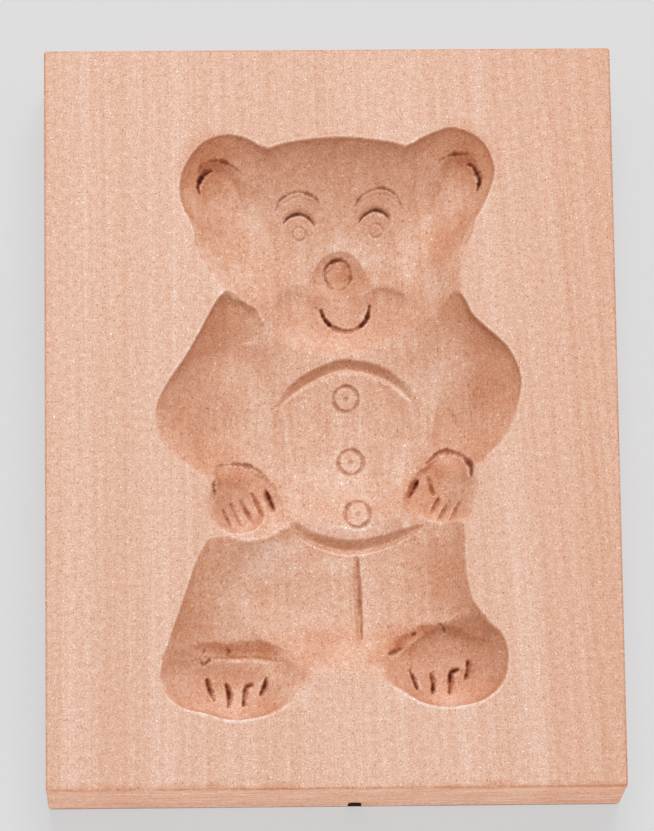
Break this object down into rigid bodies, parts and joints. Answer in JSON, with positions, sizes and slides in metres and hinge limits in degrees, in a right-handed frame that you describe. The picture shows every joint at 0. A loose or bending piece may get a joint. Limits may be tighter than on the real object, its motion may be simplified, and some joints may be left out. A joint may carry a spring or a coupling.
{
  "type": "springerle mould",
  "caption": "Rectangular wooden board with a standing teddy bear hollowed into one face, pressed onto dough to shape figured biscuits.",
  "frame": {"origin": "centre of the board's flat back", "axes": "+Y along the board's length and grain, towards the bear's head; +Z out of the carved face; +X to the right as the carved face is looked at"},
  "size_m": [0.1, 0.132, 0.02],
  "materials": {
    "beech": "planed and hand carved, bare to lightly oiled"
  },
  "bodies": {
    "root": {"mould_board": "beech"}
  },
  "joints": []
}
